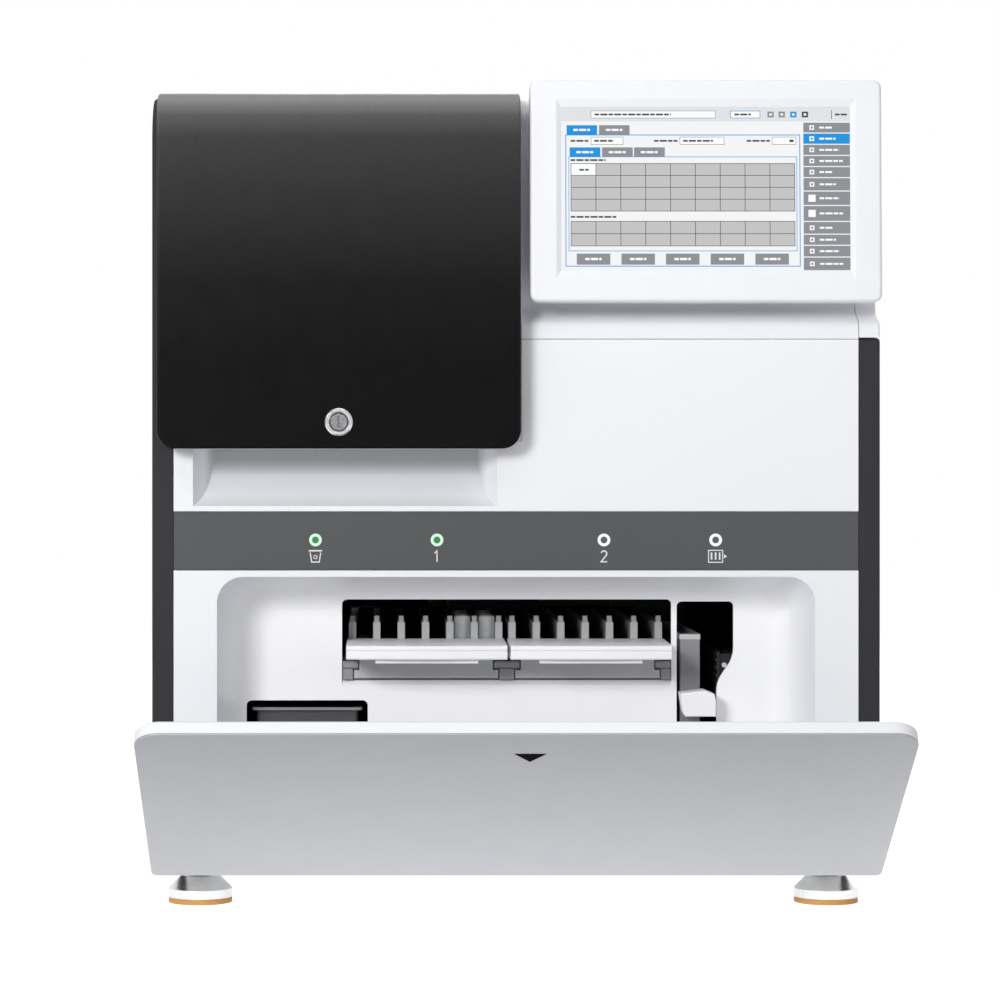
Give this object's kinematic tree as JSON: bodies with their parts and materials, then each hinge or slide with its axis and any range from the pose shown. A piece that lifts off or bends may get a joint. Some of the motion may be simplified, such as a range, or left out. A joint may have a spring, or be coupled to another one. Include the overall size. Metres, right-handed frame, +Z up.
{
  "type": "chemiluminescence immunoassay analyzer",
  "caption": "Benchtop immunoassay analyzer: drop-down loading door, reagent drawers, sample rack, waste bin, hinged black cover with lock and a tilting touch display.",
  "frame": {"origin": "centre of the footprint, open front door included, on the surface that the feet stand on", "axes": "+Z up, the user stands on the -Y side and faces +Y, +X to the user's right"},
  "size_m": [0.56, 0.797, 0.6384],
  "materials": {
    "white_cover": "fine satin moulded plastic, cool white",
    "silver_door": "silver-grey metallic paint",
    "black_cover": "high-gloss black",
    "side_grey": "dark grey fine-texture paint",
    "strip_grey": "satin mid-dark grey",
    "steel": "zinc-plated sheet",
    "aluminium": "turned and clear-anodized",
    "chrome": "polished",
    "drawer_grey": "mid grey moulded plastic",
    "rack_grey": "translucent grey",
    "dark_plastic": "fine-grained black",
    "clear_plastic": "clear moulded plastic",
    "smoky_plastic": "smoky translucent plastic",
    "pad_rubber": "amber rubber",
    "screen": "touch panel, lit",
    "lens": "diffusing light-pipe plastic",
    "circuit_green": "solder-masked board",
    "bottle_white": "blow-moulded polyethylene",
    "cap_blue": "ribbed screw cap",
    "tip_blue": "moulded box"
  },
  "bodies": {
    "root": {"base_tray": "steel", "chassis": "steel", "left_side_panel": "side_grey", "right_side_panel": "side_grey", "right_side_cap": "white_cover", "top_hood": "white_cover", "left_top_cover": "white_cover", "upper_fascia": "white_cover", "bay_frame": "white_cover", "bay_tub": "dark_plastic", "tip_box": "tip_blue", "substrate_bottles": "bottle_white", "bottle_caps": "cap_blue", "indicator_strip": "strip_grey", "indicator_rings": "lens", "indicator_lenses": "strip_grey", "lower_fascia": "white_cover", "drawer_guide": "drawer_grey", "rack_lane": "dark_plastic", "barcode_reader": "dark_plastic", "waste_shelf": "steel", "foot_pads": "pad_rubber", "foot_bodies": "aluminium", "foot_studs": "steel", "rear_panel": "side_grey", "power_inlet": "dark_plastic", "rear_ports": "steel", "fan_frame": "dark_plastic", "power_supply": "steel", "control_board": "circuit_green", "gantry": "aluminium", "incubator_block": "aluminium", "reader_housing": "dark_plastic", "door_hinge_brackets": "steel", "cover_hinge_brackets": "steel", "display_mount": "steel"},
    "door": {"door_skin": "silver_door", "door_liner": "white_cover", "door_hinge_leaves": "steel"},
    "cover": {"cover_shell": "black_cover", "lock_ring": "chrome", "cover_hinge_arms": "steel"},
    "lock": {"lock_cylinder": "chrome"},
    "display": {"display_bezel": "white_cover", "display_screen": "screen", "display_bracket": "steel"},
    "drawer_1": {"reagent_tray_1": "drawer_grey", "reagent_handle_1": "white_cover", "reagent_cartridges": "clear_plastic"},
    "drawer_2": {"reagent_tray_2": "drawer_grey", "reagent_handle_2": "white_cover"},
    "rack": {"rack_body": "rack_grey", "rack_cap": "drawer_grey", "rack_handle": "white_cover"},
    "bin": {"waste_bin": "smoky_plastic"},
    "switch": {"power_switch": "dark_plastic"},
    "fan": {"fan_impeller": "dark_plastic"},
    "carriage": {"pipettor_carriage": "aluminium"},
    "head": {"pipettor_head": "dark_plastic", "pipettor_probe": "steel"}
  },
  "joints": [
    {"name": "front_door", "type": "hinge", "parent": "root", "child": "door", "pos_m": [0, -0.20511, 0.037], "axis": [1, 0, 0], "range_deg": [-57, 0]},
    {"name": "cover_hinge", "type": "hinge", "parent": "root", "child": "cover", "pos_m": [-0.13605, 0.10949, 0.621], "axis": [-1, 0, 0], "range_deg": [0, 75]},
    {"name": "lock_turn", "type": "hinge", "parent": "cover", "child": "lock", "pos_m": [-0.13605, -0.22351, 0.376], "axis": [0, -1, 0], "range_deg": [0, 90]},
    {"name": "display_tilt", "type": "hinge", "parent": "root", "child": "display", "pos_m": [0.1449, -0.18591, 0.5399], "axis": [1, 0, 0], "range_deg": [-6.5, 2]},
    {"name": "drawer_1_slide", "type": "slide", "parent": "root", "child": "drawer_1", "axis": [0, -1, 0], "range_m": [0, 0.2]},
    {"name": "drawer_2_slide", "type": "slide", "parent": "root", "child": "drawer_2", "axis": [0, -1, 0], "range_m": [0, 0.2]},
    {"name": "rack_slide", "type": "slide", "parent": "root", "child": "rack", "axis": [0, -1, 0], "range_m": [0, 0.125]},
    {"name": "bin_slide", "type": "slide", "parent": "root", "child": "bin", "axis": [0, -1, 0], "range_m": [0, 0.13]},
    {"name": "carriage_slide", "type": "slide", "parent": "root", "child": "carriage", "axis": [1, 0, 0], "range_m": [0, 0.224]},
    {"name": "head_lift", "type": "slide", "parent": "carriage", "child": "head", "axis": [0, 0, 1], "range_m": [-0.03, 0]},
    {"name": "power_switch_rock", "type": "hinge", "parent": "root", "child": "switch", "pos_m": [0.15, 0.39149, 0.07], "axis": [-1, 0, 0], "range_deg": [0, 8]},
    {"name": "fan_spin", "type": "hinge", "parent": "root", "child": "fan", "pos_m": [-0.15, 0.38449, 0.25], "axis": [0, 1, 0], "continuous": true}
  ]
}
